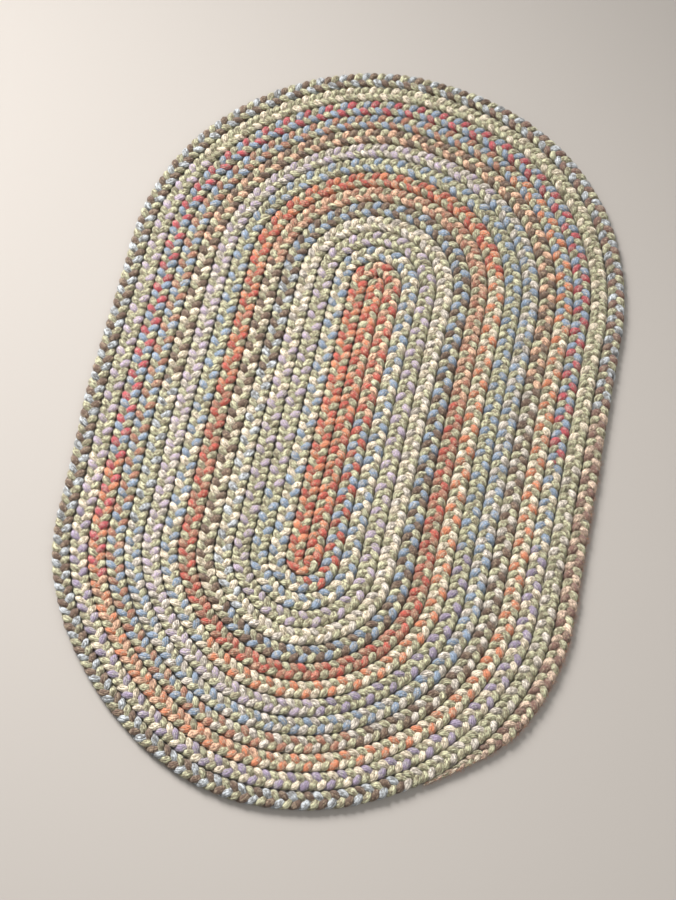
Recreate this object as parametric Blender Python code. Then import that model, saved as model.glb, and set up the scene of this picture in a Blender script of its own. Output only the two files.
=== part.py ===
"""Braided rug: one long flat braid, wound into an oval coil and laced edge to edge.

Metres, +Z up. The rug lies on Z = 0 with its long axis along Y and the origin under the
middle of its box. The whole rug is one solid: the outline of the coil with its rounded edge
and its tapered tail, and the seam between the rounds as one spiral groove in the top.
The yarn strands of the braid are left to the scene.
"""
import math

import bmesh
import bpy

# Driving dimensions
BRAID_WIDTH = 0.0203     # across the braid, which is also the distance from round to round
THICKNESS = 0.0105       # of the braid as it lies
RUNS_EACH_SIDE = 14      # straight runs to the left and to the right of the middle run
STRAIGHT = 0.349         # length of the straight part of the coil
EDGE_ROUND = 0.0042      # radius of the rounded outer edge
SEAM_DEPTH = 0.0030      # of the groove between two rounds
CHORD = 0.022            # longest step along an arc

# The tail: where the last round thins out, as angles below the right-hand side of the lower end
TAIL_FULL = math.radians(24)
TAIL_TIP = math.radians(50)
TAIL_TIP_WIDTH = 0.15    # of the braid's width

# How far each end departs from a half circle, as shares of the radius:
# squash pulls the end in along Y, the draws pull in its left and right shoulders
# (below zero they are fuller), and narrow pulls in its left side.
ENDS = {
    "upper": {"squash": 0.005, "left_draw": 0.012, "right_draw": -0.018, "narrow": 0.000},
    "lower": {"squash": 0.042, "left_draw": 0.035, "right_draw": 0.008, "narrow": 0.026},
}
NARROW_FROM = -0.030     # where along Y the left side starts to narrow, downwards

# The two centres of the coil, placed so that the whole length is centred on the origin
UPPER_REACH = (RUNS_EACH_SIDE + 0.5) * BRAID_WIDTH * (1 - ENDS["upper"]["squash"])
LOWER_REACH = RUNS_EACH_SIDE * BRAID_WIDTH * (1 - ENDS["lower"]["squash"])
UPPER_Y = (STRAIGHT + LOWER_REACH - UPPER_REACH) / 2
LOWER_Y = UPPER_Y - STRAIGHT
LOWER_X = -BRAID_WIDTH / 2

YARN_COLOUR = (0.36, 0.33, 0.26, 1.0)


def arc(centre_x, centre_y, radius, start, stop):
    """Points of an arc, with both ends, no further apart than CHORD."""
    steps = max(5, math.ceil(abs(stop - start) * radius / CHORD))
    angles = [start + (stop - start) * step / steps for step in range(steps + 1)]
    return [(centre_x + radius * math.cos(a), centre_y + radius * math.sin(a)) for a in angles]


def end_share(end, angle):
    """Radius of an end at an angle from +X, as a share of the half circle's."""
    left = math.cos(angle) < 0
    draw = end["left_draw"] if left else end["right_draw"]
    narrow = end["narrow"] if left else 0.0
    return (1 - end["squash"] * math.sin(angle) ** 2
            - draw * math.sin(2 * angle) ** 2
            - narrow * math.cos(angle) ** 2)


def settle(x, y):
    """Move a point of the ideal coil to where the uneven real one has it."""
    if y > UPPER_Y:
        share = end_share(ENDS["upper"], math.atan2(y - UPPER_Y, x))
        return x * share, UPPER_Y + (y - UPPER_Y) * share
    if y < LOWER_Y:
        share = end_share(ENDS["lower"], math.atan2(y - LOWER_Y, x - LOWER_X))
        return LOWER_X + (x - LOWER_X) * share, LOWER_Y + (y - LOWER_Y) * share
    if x < LOWER_X:
        way = min(1.0, max(0.0, (NARROW_FROM - y) / (NARROW_FROM - LOWER_Y)))
        smooth = way * way * (3 - 2 * way)
        return LOWER_X + (x - LOWER_X) * (1 - ENDS["lower"]["narrow"] * smooth), y
    return x, y


def tail_width(angle):
    """Width of the last round, as a share of the braid, at an angle below +X."""
    way = min(1.0, max(0.0, (angle - TAIL_FULL) / (TAIL_TIP - TAIL_FULL)))
    return 1 - (1 - TAIL_TIP_WIDTH) * way * way * (3 - 2 * way)


def outline_points():
    """The coil's outer edge, from the right side round the upper end to the tail."""
    side = (RUNS_EACH_SIDE + 0.5) * BRAID_WIDTH
    inner = RUNS_EACH_SIDE * BRAID_WIDTH
    points = arc(0.0, UPPER_Y, side, 0.0, math.pi)
    rows = max(2, math.ceil(STRAIGHT / (2 * CHORD)))
    points += [(-side, UPPER_Y - STRAIGHT * row / rows) for row in range(1, rows)]
    points += arc(LOWER_X, LOWER_Y, inner, math.pi, 2 * math.pi - TAIL_TIP)
    steps = math.ceil(TAIL_TIP * inner / CHORD)
    for step in range(1, steps + 1):
        angle = TAIL_TIP * (1 - step / steps)
        radius = inner + BRAID_WIDTH * tail_width(angle)
        points.append((LOWER_X + radius * math.cos(angle), LOWER_Y - radius * math.sin(angle)))
    return [settle(x, y) for x, y in points]


def seam_points():
    """The seam between the rounds: one spiral from beside the middle run to the tail's tip."""
    points = [(LOWER_X, LOWER_Y + STRAIGHT * row / 8) for row in range(8)]
    for turn in range(RUNS_EACH_SIDE):
        points += arc(0.0, UPPER_Y, (turn + 0.5) * BRAID_WIDTH, math.pi, 0.0)
        stop = -math.pi if turn < RUNS_EACH_SIDE - 1 else -TAIL_TIP
        points += arc(LOWER_X, LOWER_Y, (turn + 1) * BRAID_WIDTH, 0.0, stop)
    return [settle(x, y) for x, y in points]


def poly_curve(name, points, cyclic):
    """A flat curve through the points, in straight steps."""
    curve = bpy.data.curves.new(name, "CURVE")
    curve.dimensions = "2D"
    spline = curve.splines.new("POLY")
    spline.points.add(len(points) - 1)
    for vertex, (x, y) in zip(spline.points, points):
        vertex.co = (x, y, 0.0, 1.0)
    spline.use_cyclic_u = cyclic
    return curve


def mesh_from_curve(curve, name, height, collection):
    """Turn a curve into a mesh object with welded caps, lifted to a height."""
    holder = bpy.data.objects.new(name + "_curve", curve)
    collection.objects.link(holder)
    evaluated = holder.evaluated_get(bpy.context.evaluated_depsgraph_get())
    mesh = bpy.data.meshes.new_from_object(evaluated)
    bpy.data.objects.remove(holder)
    shape = bmesh.new()
    shape.from_mesh(mesh)
    bmesh.ops.remove_doubles(shape, verts=shape.verts, dist=0.00001)
    bmesh.ops.recalc_face_normals(shape, faces=shape.faces)
    bmesh.ops.translate(shape, verts=shape.verts, vec=(0.0, 0.0, height))
    shape.to_mesh(mesh)
    shape.free()
    thing = bpy.data.objects.new(name, mesh)
    collection.objects.link(thing)
    return thing


def make_slab(collection):
    """The rug's body: its outline filled, as thick as the braid, with a rounded edge."""
    curve = poly_curve("outline", outline_points(), cyclic=True)
    curve.fill_mode = "BOTH"
    curve.bevel_depth = EDGE_ROUND
    curve.bevel_resolution = 2
    curve.offset = -EDGE_ROUND
    curve.extrude = THICKNESS / 2 - EDGE_ROUND
    return mesh_from_curve(curve, "braided_rug", THICKNESS / 2, collection)


def make_seam_cutter(collection):
    """A long four-sided bar along the seam, half sunk in the top, which cuts a V groove."""
    curve = poly_curve("seam", seam_points(), cyclic=False)
    curve.bevel_depth = SEAM_DEPTH
    curve.bevel_resolution = 0
    curve.use_fill_caps = True
    cutter = mesh_from_curve(curve, "seam_cutter", THICKNESS, collection)
    cutter.hide_render = True
    cutter.hide_set(True)
    return cutter


def yarn_material():
    """Matt wool-like yarn in the rug's average colour."""
    material = bpy.data.materials.new("braid_yarn")
    material.use_nodes = True
    shader = material.node_tree.nodes["Principled BSDF"]
    shader.inputs["Base Color"].default_value = YARN_COLOUR
    shader.inputs["Roughness"].default_value = 0.9
    shader.inputs["Metallic"].default_value = 0.0
    return material


def new_collection(name):
    collection = bpy.data.collections.new(name)
    bpy.context.scene.collection.children.link(collection)
    return collection


def main():
    for thing in list(bpy.data.objects):
        bpy.data.objects.remove(thing)
    rug = make_slab(new_collection("braided rug"))
    rug.data.materials.clear()
    rug.data.materials.append(yarn_material())
    cut = rug.modifiers.new("spiral seam", "BOOLEAN")
    cut.operation = "DIFFERENCE"
    cut.object = make_seam_cutter(new_collection("cutters"))


main()
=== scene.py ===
"""Braided rug: the looks.

One flat braid of three yarn strands, wound into an oval coil. Each strand is a tube of soft
yarn carried along its own path through the braid; the braid is worked out straight and then
wound into the coil. Metres, +Z up, the rug lies on Z = 0 with its long axis along Y.
"""
import math

import bpy
import numpy as np
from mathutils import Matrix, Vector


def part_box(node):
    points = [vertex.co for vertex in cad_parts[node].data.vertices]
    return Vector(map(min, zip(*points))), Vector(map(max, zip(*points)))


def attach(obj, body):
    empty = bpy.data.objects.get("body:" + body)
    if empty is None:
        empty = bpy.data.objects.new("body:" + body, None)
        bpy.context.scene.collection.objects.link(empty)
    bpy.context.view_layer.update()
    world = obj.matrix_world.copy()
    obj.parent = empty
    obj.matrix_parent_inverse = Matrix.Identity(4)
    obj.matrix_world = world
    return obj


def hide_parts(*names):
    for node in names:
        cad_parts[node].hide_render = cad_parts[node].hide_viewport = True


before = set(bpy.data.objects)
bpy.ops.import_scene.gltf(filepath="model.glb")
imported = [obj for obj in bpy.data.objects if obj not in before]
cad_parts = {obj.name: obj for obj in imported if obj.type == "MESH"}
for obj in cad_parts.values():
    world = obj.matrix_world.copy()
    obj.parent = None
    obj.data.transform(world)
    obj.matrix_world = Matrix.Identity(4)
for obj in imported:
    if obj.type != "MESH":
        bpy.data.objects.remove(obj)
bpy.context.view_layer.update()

# ---------------------------------------------------------------- sizes of the coil

RUNS_EACH_SIDE = 14       # straight runs to the left and to the right of the middle run
LOW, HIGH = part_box("braided_rug")
BRAID_WIDTH = (HIGH[0] - LOW[0]) / (2 * RUNS_EACH_SIDE + 1)
THICKNESS = HIGH[2] - LOW[2]

# How far each end departs from a half circle, as shares of the radius
ENDS = {
    "upper": {"squash": 0.005, "left_draw": 0.012, "right_draw": -0.018, "narrow": 0.000},
    "lower": {"squash": 0.042, "left_draw": 0.035, "right_draw": 0.008, "narrow": 0.026},
}
NARROW_FROM = -0.030      # where along Y the left side starts to narrow, downwards

UPPER_REACH = (RUNS_EACH_SIDE + 0.5) * BRAID_WIDTH * (1 - ENDS["upper"]["squash"])
LOWER_REACH = RUNS_EACH_SIDE * BRAID_WIDTH * (1 - ENDS["lower"]["squash"])
STRAIGHT = HIGH[1] - LOW[1] - UPPER_REACH - LOWER_REACH
UPPER_Y = HIGH[1] - UPPER_REACH
LOWER_Y = UPPER_Y - STRAIGHT
LOWER_X = -BRAID_WIDTH / 2

# The tail: where the last round thins out, as angles below the right-hand side
TAIL_FULL = math.radians(24)
TAIL_TIP = math.radians(50)
TAIL_TIP_WIDTH = 0.15     # of the braid's width

# ---------------------------------------------------------------- sizes of the braid

REPEAT = 1.395 * BRAID_WIDTH     # along the braid, from a strand's left edge to the next
SWING = 0.0069            # of a strand's middle to either side
RISE = 0.0022             # of a strand's middle above and below the braid's
PLUNGE = 1.7              # how sharply it turns down over the edge and up through the middle
DIVE = 0.12               # how much sooner it turns down than the edge
HURRY = 0.42              # how much faster a strand goes along the braid where it lies on top
STRAND_WIDE = 0.0079
STRAND_THICK = 0.0058
PLUMP = 0.11              # how much fuller a strand is between its crossings
TAIL_KEEPS = 0.8          # a strand thins out as this power of the braid's share
START = -0.0085           # the braid's first end, above the upper end's centre
START_TAPER = 0.009       # length over which the first end is tucked in
START_SHARE = 0.45        # of the braid's full width at its first end

# How uneven the rug is: the amount, the length of a wave along the braid, and a random seed,
# to which a strand's order is added
UNEVEN = {
    "turn": (0.22, 0.06, 10),            # radians, a strand's place in its repeat
    "swing": (0.05, 0.02, 20),           # share of the swing
    "rise": (0.10, 0.016, 30),           # share of the rise
    "middle": (0.00025, 0.05, 5),        # metres, all three strands to either side
    "width": (0.12, 0.013, 40),          # share of a strand's width
    "thickness": (0.10, 0.015, 50),      # share of a strand's thickness
    "lobe colour": (0.10, 0.014, 60),    # share of the colour's lightness, lobe by lobe
    "round colour": (0.06, 0.15, 61),    # and over longer stretches
}

# How finely a strand is made: stretches, stations in each repeat, and sides
SAGE_MESH = (1, 15, 8)
COLOURED_MESH = (6, 22, 10)
CROWD = 0.40              # how much closer the stations are on top of the braid than below
LOOK_AHEAD = 0.0002       # step along a strand that gives its direction
CENTRE_CLEAR = 0.0005     # least distance of a point from the centre of its round
STRAND_CLEAR = 0.0001     # least height of a strand above the floor

# Stray fibres. Each pair is the least and the most, and three numbers are along, across and up.
HAIR_THICK = 0.00036
HAIR_TAPER = 0.67         # share of the thickness that is lost by the tip
HAIR_STATIONS = 5
HAIR_SIDES = 3
HAIR_CLEAR = 0.0002       # least height above the floor
EDGE_HAIRS = 800
EDGE_HAIR_SEED = 80
EDGE_HAIRS_FROM = 0.45    # share of the last run on the right, from its upper end
EDGE_HAIR_INSIDE = 0.002  # of the root, from the braid's edge
EDGE_HAIR_HEIGHTS = (0.0015, 0.0085)
EDGE_HAIR_REACH = ((-0.006, 0.003, -0.002), (0.006, 0.0065, 0.003))
EDGE_HAIR_CURL = ((-0.004, -0.003, -0.003), (0.004, 0.001, 0.001))
TOP_HAIRS = 1300
TOP_HAIR_SEED = 81
TOP_HAIR_SPAN = 0.45      # of the braid's width to either side of its middle
TOP_HAIR_STOP = 0.05      # before the end of the tail
TOP_HAIR_ROOT = 0.86      # height of the root, as a share of the thickness
TOP_HAIR_RISE = 0.0034
TOP_HAIR_FAR = (0.003, 0.007)
TOP_HAIR_CURL = ((-0.003, -0.003, -0.0034), (0.003, 0.003, -0.0020))


def coil_parts():
    """The coil's parts in winding order, clockwise from the upper end of the middle run.

    In every part the braid's middle is at centre + radius * (cos a, sin a). Along a run the
    angle a stays and the centre slides up or down; round an end the centre stays and a falls
    by length / radius. A row is turn, part, length, centre x, centre y, slide, a, radius, bend.
    """
    rows = [(0, "middle", STRAIGHT, 0.0, UPPER_Y, -1, 0.0, 0.0, 0.0)]
    for turn in range(RUNS_EACH_SIDE + 1):
        outer = turn * BRAID_WIDTH
        if turn:
            half = math.pi * outer
            rows.append((turn, "left", STRAIGHT, 0.0, LOWER_Y, 1, math.pi, outer, 0.0))
            rows.append((turn, "upper", half, 0.0, UPPER_Y, 0, math.pi, outer, 1 / outer))
            rows.append((turn, "right", STRAIGHT, 0.0, UPPER_Y, -1, 0.0, outer, 0.0))
        around = outer + BRAID_WIDTH / 2
        sweep = math.pi if turn < RUNS_EACH_SIDE else TAIL_TIP
        length = sweep * around
        rows.append((turn, "lower", length, LOWER_X, LOWER_Y, 0, 0.0, around, 1 / around))
    return rows


PARTS = coil_parts()
PART_LENGTHS = np.array([row[2] for row in PARTS])
PART_STARTS = np.concatenate([[0.0], np.cumsum(PART_LENGTHS)[:-1]])
BRAID_LENGTH = float(PART_LENGTHS.sum())
PART_VALUES = np.array([row[3:] for row in PARTS])


def length_at(turn, part, share=0.0):
    """Length along the braid at a share of the way through one part of one turn."""
    index = [row[:2] for row in PARTS].index((turn, part))
    return float(PART_STARTS[index] + share * PART_LENGTHS[index])


def end_share(end, angle):
    """Radius of an end at an angle from +X, as a share of the half circle's."""
    left = np.cos(angle) < 0
    draw = np.where(left, end["left_draw"], end["right_draw"])
    narrow = np.where(left, end["narrow"], 0.0)
    return (1 - end["squash"] * np.sin(angle) ** 2
            - draw * np.sin(2 * angle) ** 2
            - narrow * np.cos(angle) ** 2)


def smooth(way):
    """The smooth step 3 w^2 - 2 w^3 of w held between 0 and 1."""
    way = np.clip(way, 0.0, 1.0)
    return way * way * (3 - 2 * way)


def settle(x, y):
    """Move points of the ideal coil to where the uneven real one has them: each end is scaled
    about its centre by its share, and the left side narrows towards the lower end."""
    upper = end_share(ENDS["upper"], np.arctan2(y - UPPER_Y, x))
    lower = end_share(ENDS["lower"], np.arctan2(y - LOWER_Y, x - LOWER_X))
    narrowed = 1 - ENDS["lower"]["narrow"] * smooth((NARROW_FROM - y) / (NARROW_FROM - LOWER_Y))
    side_x = np.where(x < LOWER_X, LOWER_X + (x - LOWER_X) * narrowed, x)
    above, below = y > UPPER_Y, y < LOWER_Y
    new_x = np.where(above, x * upper, np.where(below, LOWER_X + (x - LOWER_X) * lower, side_x))
    new_y = np.where(above, UPPER_Y + (y - UPPER_Y) * upper,
                     np.where(below, LOWER_Y + (y - LOWER_Y) * lower, y))
    return new_x, new_y


def wind(along, across, up):
    """Carry points of the straight braid into the coil: (along, across, up) goes to
    centre + (radius + across) * (cos a, sin a) of its part, at height up, then settles."""
    part = np.clip(np.searchsorted(PART_STARTS, along, side="right") - 1, 0, len(PARTS) - 1)
    centre_x, centre_y, slide, angle, radius, bend = np.moveaxis(PART_VALUES[part], -1, 0)
    way = along - PART_STARTS[part]
    angle = angle - bend * way
    reach = np.where(bend > 0, np.maximum(radius + across, CENTRE_CLEAR), radius + across)
    x, y = settle(centre_x + reach * np.cos(angle),
                  centre_y + slide * way + reach * np.sin(angle))
    return np.stack([x, y, up], axis=-1)


def wander(length, wave, seed):
    """A smooth random curve of the length, between -1 and 1: random values at knots a wave
    apart, joined by cosine steps."""
    knots = np.random.default_rng(seed).uniform(-1, 1, int(BRAID_LENGTH / wave) + 4)
    place = np.clip(length / wave + 1, 0, len(knots) - 1.001)
    knot = np.floor(place).astype(int)
    ease = (1 - np.cos(np.pi * (place - knot))) / 2
    return knots[knot] * (1 - ease) + knots[knot + 1] * ease


def uneven(kind, length, order=0):
    """A kind of unevenness along a strand: its amount times a random curve of its wave."""
    amount, wave, seed = UNEVEN[kind]
    return amount * wander(length, wave, seed + order)


def braid_share(length):
    """Width of the braid as a share of its full width: tucked in at its first end, and
    thinned out over the tail."""
    tail_start = length_at(RUNS_EACH_SIDE, "lower")
    full, tip = (tail_start + angle / TAIL_TIP * (BRAID_LENGTH - tail_start)
                 for angle in (TAIL_FULL, TAIL_TIP))
    start = START_SHARE + (1 - START_SHARE) * smooth((length - START) / START_TAPER)
    return start * (1 - (1 - TAIL_TIP_WIDTH) * smooth((length - full) / (tip - full)))


# ---------------------------------------------------------------- the strands

def strand_line(order, length):
    """Middle of one strand in the straight braid.

    With t = 2 pi (length / REPEAT + order / 3), across = SWING sin t,
    up = THICKNESS / 2 + RISE tanh(PLUNGE (sin 2t - DIVE sin^2 t)) and
    along = length - REPEAT / (8 pi) HURRY sin 4t, each with a little unevenness. The tail's
    strands are drawn towards its inner side. Gives the points and t.
    """
    share = braid_share(length)
    turn = 2 * np.pi * (length / REPEAT + order / 3) + uneven("turn", length, order)
    swing = SWING * share * (1 + uneven("swing", length, order))
    rise = RISE * share * (1 + uneven("rise", length, order))
    across = swing * np.sin(turn) + uneven("middle", length)
    across = across - (1 - share) * BRAID_WIDTH / 2 * (length > BRAID_LENGTH / 2)
    climb = np.sin(2 * turn) - DIVE * np.sin(turn) ** 2
    up = THICKNESS / 2 + rise * np.tanh(PLUNGE * climb)
    along = length - REPEAT / (8 * np.pi) * HURRY * np.sin(4 * turn)
    return np.stack([along, across, up], axis=-1), turn


def square_to(direction):
    """Two unit vectors square to each direction T: N, the upright less its part along T, and
    W = N x T."""
    tangent = direction / np.linalg.norm(direction, axis=-1, keepdims=True)
    upright = np.array([0.0, 0.0, 1.0]) - tangent[:, 2:] * tangent
    upright /= np.linalg.norm(upright, axis=-1, keepdims=True)
    return upright, np.cross(upright, tangent)


def strand_grid(order, start, stop, stations, sides):
    """Surface of a stretch of one strand as a grid of points, stations by sides.

    At each station an oval with half axes a, b stands square to the strand's line:
    point = line + a cos q W + b sin q N, with N and W from square_to. Both axes follow
    1 - PLUMP cos 4t. Then the straight braid is wound into the coil. With s even steps, the
    stations are at s + CROWD REPEAT / (4 pi) cos 2t. Gives the points, the length along the
    braid and the length along the strand.
    """
    even = np.linspace(start, stop, stations)
    twice = 4 * np.pi * (even / REPEAT + order / 3)
    length = even + CROWD * REPEAT / (4 * np.pi) * np.cos(twice)
    line, turn = strand_line(order, length)
    upright, sideways = square_to(strand_line(order, length + LOOK_AHEAD)[0] - line)
    share = braid_share(length) ** TAIL_KEEPS
    plump = 1 - PLUMP * np.cos(4 * turn)
    wide = STRAND_WIDE / 2 * share * plump * (1 + uneven("width", length, order))
    thick = STRAND_THICK / 2 * share * plump * (1 + uneven("thickness", length, order))
    around = np.linspace(0, 2 * np.pi, sides, endpoint=False)[None, :, None]
    grid = (line[:, None, :] + wide[:, None, None] * np.cos(around) * sideways[:, None, :]
            + thick[:, None, None] * np.sin(around) * upright[:, None, :])
    steps = np.linalg.norm(np.diff(line, axis=0), axis=-1)
    run = np.concatenate([[0.0], np.cumsum(steps)])
    points = wind(grid[..., 0], grid[..., 1], np.maximum(grid[..., 2], STRAND_CLEAR))
    return points, length, run


def hair_grid(root, reach, curl):
    """Fine stray fibres as a grid of points, hairs by stations by sides.

    A hair runs from its root in the straight braid along root + s reach + s^2 curl, for s from
    0 to 1, with a ring of points about it, HAIR_THICK / 2 (1 - HAIR_TAPER s) in radius.
    """
    way = np.linspace(0, 1, HAIR_STATIONS)[None, :, None]
    line = root[:, None, :] + way * reach[:, None, :] + way ** 2 * curl[:, None, :]
    upright, sideways = square_to(reach)
    around = np.linspace(0, 2 * np.pi, HAIR_SIDES, endpoint=False)
    ring = (np.cos(around)[:, None] * sideways[:, None, :]
            + np.sin(around)[:, None] * upright[:, None, :])
    size = HAIR_THICK / 2 * (1 - HAIR_TAPER * way)
    grid = line[:, :, None, :] + size[..., None] * ring[:, None, :, :]
    return wind(grid[..., 0], grid[..., 1], np.maximum(grid[..., 2], HAIR_CLEAR))


def edge_hairs(first, last):
    """Fibres that stand out of the outer edge between two lengths of the braid."""
    rng = np.random.default_rng(EDGE_HAIR_SEED)
    length = rng.uniform(first, last, EDGE_HAIRS)
    across = BRAID_WIDTH * (braid_share(length) - 0.5) - EDGE_HAIR_INSIDE
    root = np.stack([length, across, rng.uniform(*EDGE_HAIR_HEIGHTS, EDGE_HAIRS)], axis=-1)
    reach = rng.uniform(*EDGE_HAIR_REACH, (EDGE_HAIRS, 3))
    curl = rng.uniform(*EDGE_HAIR_CURL, (EDGE_HAIRS, 3))
    return hair_grid(root, reach, curl)


def top_hairs():
    """Fibres that lie loosely on the top, anywhere along the braid, each with its own heading."""
    rng = np.random.default_rng(TOP_HAIR_SEED)
    length = rng.uniform(0.0, BRAID_LENGTH - TOP_HAIR_STOP, TOP_HAIRS)
    across = BRAID_WIDTH * rng.uniform(-TOP_HAIR_SPAN, TOP_HAIR_SPAN, TOP_HAIRS)
    up = np.full(TOP_HAIRS, TOP_HAIR_ROOT * THICKNESS)
    heading = rng.uniform(0, 2 * np.pi, TOP_HAIRS)
    far = rng.uniform(*TOP_HAIR_FAR, TOP_HAIRS)
    rise = np.full(TOP_HAIRS, TOP_HAIR_RISE)
    reach = np.stack([far * np.cos(heading), far * np.sin(heading), rise], axis=-1)
    curl = rng.uniform(*TOP_HAIR_CURL, (TOP_HAIRS, 3))
    return hair_grid(np.stack([length, across, up], axis=-1), reach, curl)


# ---------------------------------------------------------------- yarns

def colour(red, green, blue):
    """A display colour, 0 to 255, as scene-linear values."""
    share = np.array([red, green, blue]) / 255
    return np.where(share <= 0.04045, share / 12.92, ((share + 0.055) / 1.055) ** 2.4)


# Each yarn has a main dye, the colour of its flecked threads, and how many threads have it.
YARNS = {
    "sage": (colour(186, 185, 154), colour(161, 153, 127), 0.45),
    "cream": (colour(222, 210, 188), colour(200, 186, 160), 0.34),
    "white": (colour(206, 198, 186), colour(182, 173, 160), 0.42),
    "blue": (colour(133, 149, 168), colour(189, 192, 194), 0.38),
    "pale blue": (colour(182, 188, 192), colour(150, 152, 152), 0.42),
    "lilac": (colour(176, 162, 178), colour(204, 194, 188), 0.42),
    "purple": (colour(152, 140, 161), colour(192, 184, 190), 0.38),
    "dark brown": (colour(104, 86, 74), colour(158, 139, 119), 0.40),
    "rust": (colour(154, 108, 90), colour(200, 166, 140), 0.42),
    "coral": (colour(172, 86, 74), colour(204, 146, 125), 0.42),
    "rose": (colour(172, 83, 88), colour(202, 144, 138), 0.42),
    "orange": (colour(194, 125, 94), colour(216, 176, 149), 0.42),
    "peach": (colour(216, 178, 150), colour(190, 150, 126), 0.40),
    "rose brown": (colour(122, 95, 85), colour(170, 147, 129), 0.42),
    "blush": (colour(213, 190, 168), colour(190, 165, 146), 0.42),
}

# Where each strand goes over to its next yarn: turn, part of the turn, share of the part.
FIRST_STRAND = (
    (0, "middle", 0.00, "coral"),
    (1, "lower", 0.50, "cream"),
    (2, "lower", 0.90, "sage"),
    (4, "left", 0.50, "cream"),
    (5, "left", 0.60, "dark brown"),
    (6, "upper", 0.00, "rust"),
    (7, "left", 0.50, "orange"),
    (7, "lower", 0.70, "blue"),
    (8, "right", 0.85, "purple"),
    (8, "lower", 0.40, "lilac"),
    (9, "upper", 0.70, "blue"),
    (10, "left", 0.00, "pale blue"),
    (10, "left", 0.50, "dark brown"),
    (10, "lower", 0.35, "rust"),
    (11, "upper", 0.70, "orange"),
    (11, "lower", 0.90, "rose"),
    (12, "right", 0.50, "cream"),
    (13, "left", 0.20, "sage"),
    (13, "lower", 0.30, "dark brown"),
    (14, "upper", 0.60, "rose brown"),
    (14, "lower", 0.72, "cream"),
)
SECOND_STRAND = (
    (0, "middle", 0.00, "orange"),
    (1, "upper", 0.00, "peach"),
    (1, "right", 0.50, "blue"),
    (3, "left", 0.20, "lilac"),
    (4, "left", 0.75, "white"),
    (4, "lower", 0.70, "pale blue"),
    (5, "upper", 0.00, "blue"),
    (5, "lower", 0.75, "cream"),
    (6, "upper", 0.00, "peach"),
    (6, "right", 0.35, "coral"),
    (7, "upper", 0.90, "cream"),
    (8, "left", 0.40, "sage"),
    (8, "lower", 0.40, "white"),
    (10, "left", 0.00, "sage"),
    (10, "left", 0.40, "cream"),
    (10, "upper", 0.00, "peach"),
    (10, "right", 0.25, "white"),
    (10, "lower", 0.60, "blue"),
    (11, "right", 0.00, "cream"),
    (11, "lower", 0.50, "peach"),
    (11, "lower", 0.90, "orange"),
    (12, "left", 0.20, "blue"),
    (12, "right", 0.80, "purple"),
    (13, "left", 0.00, "lilac"),
    (13, "upper", 0.15, "cream"),
    (13, "right", 0.50, "white"),
    (13, "lower", 0.30, "pale blue"),
    (14, "right", 0.28, "blush"),
)
THIRD_STRAND = ((0, "middle", 0.00, "sage"),)


def yarn_colours(chart, length, order):
    """Dye and fleck of the yarn at each length of a strand, as two arrays of red, green, blue
    and one more value: the dye's is the flecks' share, the fleck's is 1. Both are lighter or
    darker from lobe to lobe and from round to round."""
    changes = np.array([length_at(turn, part, share) for turn, part, share, _ in chart])
    yarn = np.clip(np.searchsorted(changes, length, side="right") - 1, 0, len(chart) - 1)
    dyes, flecks, shares = (np.array([YARNS[row[3]][column] for row in chart])[yarn]
                            for column in range(3))
    light = 1 + uneven("lobe colour", length, order) + uneven("round colour", length, order)
    ones = np.ones((len(length), 1))
    return (np.concatenate([dyes * light[:, None], shares[:, None]], axis=1),
            np.concatenate([flecks * light[:, None], ones], axis=1))


# ---------------------------------------------------------------- meshes

# How a tube is laid out in rows in the square map, in shares of the map or of a row
ROW_END = 0.003           # left free at either end of a row
ROW_GAP = 0.06            # left free below a row
ROW_FILL = 0.88           # height of a row
CAP_RADIUS = 0.3          # of a cap's disc, in the last row
CAP_PLACES = (0.25, 0.75)    # of the two discs, along the last row


def tube_faces(stations, sides):
    """Corner indices of a closed tube: a quad for each cell of the grid, and a cap at each end.
    Gives the quads, the station and the side of each of their corners, and the two caps."""
    i, j = (n.ravel()[:, None] for n in
            np.meshgrid(np.arange(stations - 1), np.arange(sides), indexing="ij"))
    corner_i = i + np.array([0, 0, 1, 1])
    corner_j = j + np.array([0, 1, 1, 0])
    quads = corner_i * sides + corner_j % sides
    ring = np.arange(sides)
    return quads, corner_i, corner_j, np.stack([ring[::-1], (stations - 1) * sides + ring])


def mesh_from(name, points, quads, caps):
    """A mesh from points, four-cornered faces, and caps that all have as many corners."""
    mesh = bpy.data.meshes.new(name)
    mesh.vertices.add(points.size // 3)
    mesh.vertices.foreach_set("co", points.astype(np.float32).ravel())
    loops = np.concatenate([quads.ravel(), caps.ravel()])
    mesh.loops.add(len(loops))
    mesh.loops.foreach_set("vertex_index", loops.astype(np.int32))
    starts = np.concatenate([np.arange(len(quads)) * 4,
                             quads.size + np.arange(len(caps)) * caps.shape[1]])
    mesh.polygons.add(len(starts))
    mesh.polygons.foreach_set("loop_start", starts.astype(np.int32))
    return mesh


def piece_from(name, mesh, material):
    """A piece of the rug with this mesh and material, at the origin."""
    mesh.materials.append(material)
    mesh.update()
    mesh.validate()
    piece = bpy.data.objects.new(name, mesh)
    bpy.context.scene.collection.objects.link(piece)
    return piece


def set_uv(mesh, name, quad_uv, cap_uv):
    """Add a map to a mesh, with its values at the corners of the quads and of the caps."""
    layer = mesh.uv_layers.new(name=name)
    values = np.concatenate([quad_uv.reshape(-1, 2), cap_uv.reshape(-1, 2)])
    layer.uv.foreach_set("vector", values.astype(np.float32).ravel())


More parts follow.
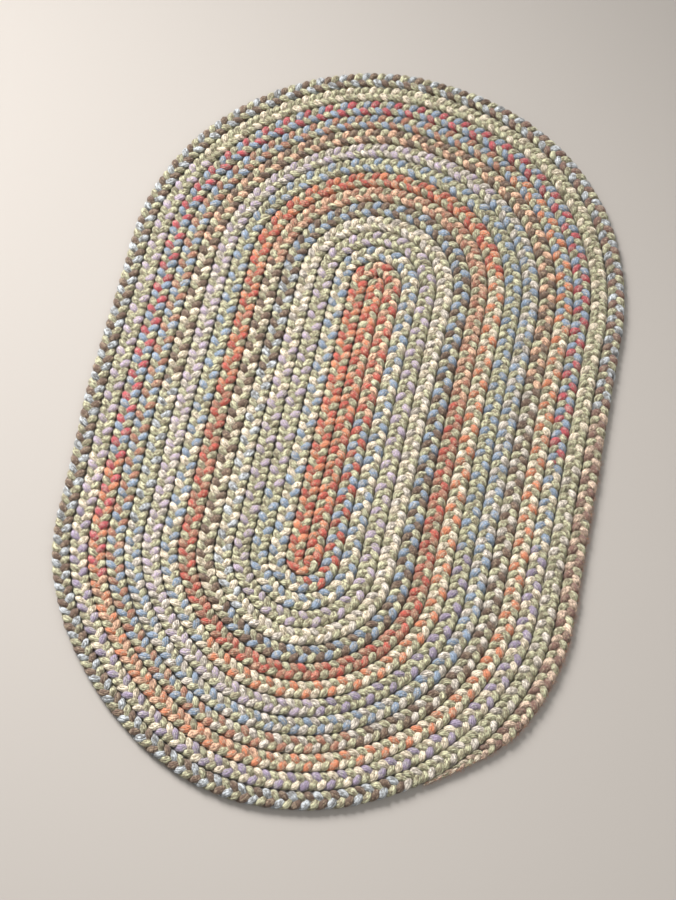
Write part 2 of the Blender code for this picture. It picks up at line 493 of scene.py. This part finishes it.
def rows_map(points, run, corner_i, corner_j):
    """A map with no overlaps: the tube is cut into rows of equal length, one above another,
    with u along a row and v round the tube, and the caps are two discs in one more row."""
    stations, sides = points.shape[:2]
    section = points[stations // 2]
    girth = np.linalg.norm(section - np.roll(section, 1, axis=0), axis=-1).sum()
    rows = max(1, round(math.sqrt((run[-1] - run[0]) / girth)))
    per_row = math.ceil((stations - 1) / rows)
    row = corner_i[:, :1] // per_row
    u = ROW_END + (1 - 2 * ROW_END) * (corner_i - row * per_row) / per_row
    v = (row + ROW_GAP + ROW_FILL * corner_j / sides) / (rows + 1)
    ring = 2 * np.pi * np.arange(sides) / sides
    disc = CAP_RADIUS / (rows + 1) * np.stack([np.cos(ring), np.sin(ring)], axis=-1)
    middle = (rows + 0.5) / (rows + 1)
    caps = np.stack([disc[::-1] + [CAP_PLACES[0], middle], disc + [CAP_PLACES[1], middle]])
    return np.stack([u, v], axis=-1), caps


def tube_piece(name, points, run, dye, fleck, material):
    """A closed tube through a grid of points, with its yarn colours and two maps: yarn, in
    metres along and turns around, and one that lays the tube out in rows."""
    stations, sides = points.shape[:2]
    quads, corner_i, corner_j, caps = tube_faces(stations, sides)
    mesh = mesh_from(name, points, quads, caps)
    rounded = np.ones(len(quads) + len(caps), dtype=bool)
    rounded[-len(caps):] = False
    mesh.polygons.foreach_set("use_smooth", rounded)
    cap_run = np.broadcast_to(run[[0, -1], None], caps.shape)
    set_uv(mesh, "yarn", np.stack([run[corner_i], corner_j / sides], axis=-1),
           np.stack([cap_run, caps % sides / sides], axis=-1))
    set_uv(mesh, "OFBake", *rows_map(points, run, corner_i, corner_j))
    for label, values in (("dye", dye), ("fleck", fleck)):
        layer = mesh.attributes.new(label, "FLOAT_COLOR", "POINT")
        every = np.repeat(values, sides, axis=0)
        layer.data.foreach_set("color", every.astype(np.float32).ravel())
    return piece_from(name, mesh, material)


def hair_piece(name, points, material):
    """Many short closed tubes in one mesh, from a grid of hairs by stations by sides."""
    count, stations, sides = points.shape[:3]
    quads, _, _, caps = tube_faces(stations, sides)
    shift = (np.arange(count) * stations * sides)[:, None, None]
    mesh = mesh_from(name, points, (quads + shift).reshape(-1, 4),
                     (caps + shift).reshape(-1, sides))
    return piece_from(name, mesh, material)


# ---------------------------------------------------------------- materials

class Nodes:
    """A small helper that adds nodes to a tree and links them by name."""

    def __init__(self, tree):
        self.tree = tree

    def add(self, kind, links=(), **values):
        node = self.tree.nodes.new(kind)
        for name, value in values.items():
            setattr(node, name, value)
        for socket, source in dict(links).items():
            if hasattr(source, "is_output"):
                self.tree.links.new(source, node.inputs[socket])
            else:
                node.inputs[socket].default_value = source
        return node

    def math(self, operation, *sources):
        return self.add("ShaderNodeMath", enumerate(sources), operation=operation).outputs[0]

    def noise(self, place, scale, detail):
        return self.add("ShaderNodeTexNoise",
                        {"Vector": place, "Scale": scale, "Detail": detail}).outputs[0]

    def group(self, tree, links):
        return self.add("ShaderNodeGroup", links, node_tree=tree).outputs


# Threads of the yarn
THREADS_ROUND = 10.0      # round a strand
LEAN = 60.0               # lanes that the threads lean over in a metre
WAVER = 1.5               # lanes that they waver by
WAVER_SCALE = 240.0       # spots of the waver's noise in a metre
TONE_ALONG = 210.0        # spots of the tone's noise in a metre along a thread
TONE_APART = 7.13         # spots from one thread to the next, so that they don't look alike
FIBRE_ALONG = 520.0       # spots of the fibres' noise in a metre along a thread
FIBRE_ACROSS = 5.0        # spots across a thread
FIBRE_APART = 3.7         # spots from one thread to the next
THREAD_HEIGHT = 0.0009    # of a thread's round back, in the bump
FIBRE_HEIGHT = 0.5        # of the fibres, as a share of that
ROUGH_LEAST = 0.80        # roughness of the yarn
ROUGH_SPAN = 0.15         # how much rougher it is where a fibre stands out

# Heather, and the painted shade between threads
FLECK_NONE = 0.29         # the tone below which a thread is a fleck where the share is 0
FLECK_SPAN = 0.45         # by how much that tone rises where the share is 1
FLECK_SHARP = 14.0        # how sharply dye turns to fleck
YARN_LIGHT = 1.12         # lightness of the yarn as a whole
YARN_DEPTH = 2.2          # how much the lightness varies with fibre and tone
GAP_PAINTED_SHADE = 0.30           # painted shade: how much of the colour is lost between two threads


def threads_group():
    """Threads of a yarn strand, laid side by side round it and leaning a little.

    lane = Around * Threads + Along * Lean + Waver * (noise - 1/2). Height is the round back of
    each thread, sqrt(4 w (1 - w)) with w the fraction of the lane, and Gap is 1 - 4 w (1 - w),
    which is 1 between two threads, where the heather paints shade. Tone is a random value per
    thread that changes slowly along it, and Fibre a fine streak along the thread.
    """
    tree = bpy.data.node_groups.new("yarn threads", "ShaderNodeTree")
    for name in ("Along", "Around", "Threads", "Lean", "Waver"):
        tree.interface.new_socket(name, in_out="INPUT", socket_type="NodeSocketFloat")
    for name in ("Height", "Gap", "Tone", "Fibre"):
        tree.interface.new_socket(name, in_out="OUTPUT", socket_type="NodeSocketFloat")
    n = Nodes(tree)
    given = n.add("NodeGroupInput").outputs
    place = n.add("ShaderNodeTexCoord").outputs["Object"]
    waver = n.noise(place, WAVER_SCALE, 2.0)
    lane = n.math("ADD", n.math("MULTIPLY", given["Around"], given["Threads"]),
                  n.math("MULTIPLY", given["Along"], given["Lean"]))
    lane = n.math("ADD", lane, n.math("MULTIPLY", n.math("SUBTRACT", waver, 0.5), given["Waver"]))
    within = n.math("FRACT", lane)
    thread = n.math("FLOORED_MODULO", n.math("FLOOR", lane), given["Threads"])
    rest = n.math("SUBTRACT", 1.0, within)
    back = n.math("MULTIPLY", n.math("MULTIPLY", within, rest), 4.0)
    tone_at = n.add("ShaderNodeCombineXYZ", {
        0: n.math("MULTIPLY", thread, TONE_APART),
        1: n.math("MULTIPLY", given["Along"], TONE_ALONG)}).outputs[0]
    fibre_at = n.add("ShaderNodeCombineXYZ", {
        0: n.math("MULTIPLY", within, FIBRE_ACROSS),
        1: n.math("MULTIPLY", given["Along"], FIBRE_ALONG),
        2: n.math("MULTIPLY", thread, FIBRE_APART)}).outputs[0]
    n.add("NodeGroupOutput", {
        "Height": n.math("SQRT", back),
        "Gap": n.math("SUBTRACT", 1.0, back),
        "Tone": n.noise(tone_at, 1.0, 1.0),
        "Fibre": n.noise(fibre_at, 1.0, 2.0)})
    return tree


def heather_and_gap_shade_group():
    """Heathered yarn: some threads take the fleck colour, lightness varies, and painted shade
    darkens the gaps between threads.

    Colour = mix(Dye, Fleck, pick) * (YARN_LIGHT + Depth (Fibre + Tone - 1)) * (1 -
    GAP_PAINTED_SHADE Gap) with pick = FLECK_SHARP (FLECK_NONE + FLECK_SPAN Share - Tone) + 1/2,
    held between 0 and 1.
    """
    tree = bpy.data.node_groups.new("heather", "ShaderNodeTree")
    tree.interface.new_socket("Dye", in_out="INPUT", socket_type="NodeSocketColor")
    tree.interface.new_socket("Fleck", in_out="INPUT", socket_type="NodeSocketColor")
    for name in ("Share", "Tone", "Fibre", "Gap", "Depth"):
        tree.interface.new_socket(name, in_out="INPUT", socket_type="NodeSocketFloat")
    tree.interface.new_socket("Colour", in_out="OUTPUT", socket_type="NodeSocketColor")
    n = Nodes(tree)
    given = n.add("NodeGroupInput").outputs
    level = n.math("ADD", n.math("MULTIPLY", given["Share"], FLECK_SPAN), FLECK_NONE)
    pick = n.math("MULTIPLY_ADD", n.math("SUBTRACT", level, given["Tone"]), FLECK_SHARP, 0.5)
    pick = n.add("ShaderNodeClamp", {0: pick}).outputs[0]
    mixed = n.add("ShaderNodeMix", {0: pick, 6: given["Dye"], 7: given["Fleck"]},
                  data_type="RGBA").outputs[2]
    streak = n.math("SUBTRACT", n.math("ADD", given["Fibre"], given["Tone"]), 1.0)
    light = n.math("MULTIPLY_ADD", streak, given["Depth"], YARN_LIGHT)
    # painted shade: the colour is darkened between two threads, where shade falls
    light = n.math("MULTIPLY", light, n.math("MULTIPLY_ADD", given["Gap"], -GAP_PAINTED_SHADE, 1.0))
    shade = n.add("ShaderNodeVectorMath", {0: mixed, 3: light}, operation="SCALE").outputs[0]
    n.add("NodeGroupOutput", {"Colour": shade})
    return tree


def yarn_material():
    """Soft matt yarn: threads, heather and painted shade between threads from the groups, with a
    bump for the threads.
    """
    material = bpy.data.materials.new("braid yarn")
    material.use_nodes = True
    n = Nodes(material.node_tree)
    shader = material.node_tree.nodes["Principled BSDF"]
    uv = n.add("ShaderNodeUVMap", uv_map="yarn").outputs[0]
    split = n.add("ShaderNodeSeparateXYZ", {0: uv}).outputs
    lay = n.group(threads_group(), {
        "Along": split[0], "Around": split[1],
        "Threads": THREADS_ROUND, "Lean": LEAN, "Waver": WAVER})
    dye = n.add("ShaderNodeAttribute", attribute_name="dye").outputs
    fleck = n.add("ShaderNodeAttribute", attribute_name="fleck").outputs
    heather = n.group(heather_and_gap_shade_group(), {
        "Dye": dye["Color"], "Share": dye["Alpha"], "Fleck": fleck["Color"],
        "Tone": lay["Tone"], "Fibre": lay["Fibre"], "Gap": lay["Gap"], "Depth": YARN_DEPTH})
    n.tree.links.new(heather["Colour"], shader.inputs["Base Color"])
    rough = n.math("MULTIPLY_ADD", lay["Fibre"], ROUGH_SPAN, ROUGH_LEAST)
    n.tree.links.new(rough, shader.inputs["Roughness"])
    height = n.math("ADD", lay["Height"], n.math("MULTIPLY", lay["Fibre"], FIBRE_HEIGHT))
    bump = n.add("ShaderNodeBump", {"Height": height, "Strength": 1.0, "Distance": THREAD_HEIGHT})
    n.tree.links.new(bump.outputs[0], shader.inputs["Normal"])
    shader.inputs["Sheen Weight"].default_value = 0.25
    shader.inputs["Sheen Roughness"].default_value = 0.5
    shader.inputs["Specular IOR Level"].default_value = 0.2
    return material


# ---------------------------------------------------------------- stage

def plain_material(name, shade, rough):
    """A material of one colour and one roughness."""
    material = bpy.data.materials.new(name)
    material.use_nodes = True
    shader = material.node_tree.nodes["Principled BSDF"]
    shader.inputs["Base Color"].default_value = (*shade, 1.0)
    shader.inputs["Roughness"].default_value = rough
    return material


def make_floor():
    half = 6.0
    corners = [(-half, -half, 0), (half, -half, 0), (half, half, 0), (-half, half, 0)]
    mesh = bpy.data.meshes.new("floor")
    mesh.from_pydata(corners, [], [(0, 1, 2, 3)])
    mesh.materials.append(plain_material("pale floor", (0.44, 0.415, 0.385), 0.7))
    floor = bpy.data.objects.new("floor", mesh)
    bpy.context.scene.collection.objects.link(floor)


def make_camera():
    """The camera looks at its aim from its distance, tilted from straight down, turned about
    the upright axis and rolled about its own."""
    aim = (0.0001, -0.0515, 0.009)
    distance = 1.8137
    tilt, turn, roll = math.radians(21.17), math.radians(4.755), math.radians(7.918)
    data = bpy.data.cameras.new("camera")
    data.lens = 64.32
    data.sensor_width = 36.0
    camera = bpy.data.objects.new("camera", data)
    spin = (Matrix.Rotation(turn, 3, "Z") @ Matrix.Rotation(tilt, 3, "X")
            @ Matrix.Rotation(roll, 3, "Z"))
    camera.matrix_world = Matrix.Translation(
        Vector(aim) + spin @ Vector((0, 0, distance))) @ spin.to_4x4()
    bpy.context.scene.collection.objects.link(camera)
    bpy.context.scene.camera = camera


def make_light(name, place, aim, size, spread, watts, tint):
    """A round soft light that shines from its place at its aim, and no further than half its
    spread, in degrees, to either side."""
    data = bpy.data.lights.new(name, "AREA")
    data.shape = "DISK"
    data.size = size
    data.spread = math.radians(spread)
    data.energy = watts
    data.color = tint
    light = bpy.data.objects.new(name, data)
    light.location = place
    light.rotation_mode = "QUATERNION"
    light.rotation_quaternion = (Vector(aim) - Vector(place)).to_track_quat("-Z", "Y")
    bpy.context.scene.collection.objects.link(light)


def make_stage():
    make_floor()
    make_camera()
    make_light("window", place=(-1.8, 1.4, 1.8), aim=(-0.35, -0.16, 0.0),
               size=1.5, spread=60, watts=21.0, tint=(1.0, 0.965, 0.945))
    make_light("fill", place=(1.8, -0.6, 2.4), aim=(0.0, 0.0, 0.0),
               size=2.0, spread=180, watts=18, tint=(1.0, 0.98, 0.95))
    world = bpy.data.worlds.new("studio")
    world.use_nodes = True
    sky = world.node_tree.nodes["Background"].inputs
    sky["Color"].default_value = (1.0, 0.98, 0.96, 1.0)
    sky["Strength"].default_value = 0.36
    bpy.context.scene.world = world
    bpy.context.scene.view_settings.view_transform = "Standard"


# ---------------------------------------------------------------- making it

def make_strand(name, order, chart, fineness, material):
    """One strand in so many stretches, each a closed tube that starts where the last ends."""
    stretches, stations_per_repeat, sides = fineness
    stations = round(BRAID_LENGTH / REPEAT / stretches * stations_per_repeat) + 1
    marks = np.linspace(START, BRAID_LENGTH, stretches + 1)
    pieces = []
    for index in range(stretches):
        points, length, run = strand_grid(order, marks[index], marks[index + 1], stations, sides)
        dye, fleck = yarn_colours(chart, length, order)
        label = name if stretches == 1 else f"{name}_{index + 1}"
        pieces.append(tube_piece(label, points, run, dye, fleck, material))
    return pieces


def make_fibres():
    """Stray fibres: pinkish ones out of the edge near the tail, and pale ones on the top."""
    edge = edge_hairs(length_at(RUNS_EACH_SIDE, "right", EDGE_HAIRS_FROM), BRAID_LENGTH)
    pink = plain_material("pink fibres", colour(178, 136, 114), 0.9)
    pale = plain_material("pale fibres", colour(222, 210, 188), 0.9)
    return [hair_piece("edge_fibres", edge, pink), hair_piece("loose_fibres", top_hairs(), pale)]


def main():
    make_stage()
    yarn = yarn_material()
    third = make_strand("sage_strand", 2, THIRD_STRAND, SAGE_MESH, yarn)
    first = make_strand("first_strand", 0, FIRST_STRAND, COLOURED_MESH, yarn)
    second = make_strand("second_strand", 1, SECOND_STRAND, COLOURED_MESH, yarn)
    others = first + second + make_fibres()
    for piece in third + others:
        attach(piece, "root")
        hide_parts("braided_rug")


main()
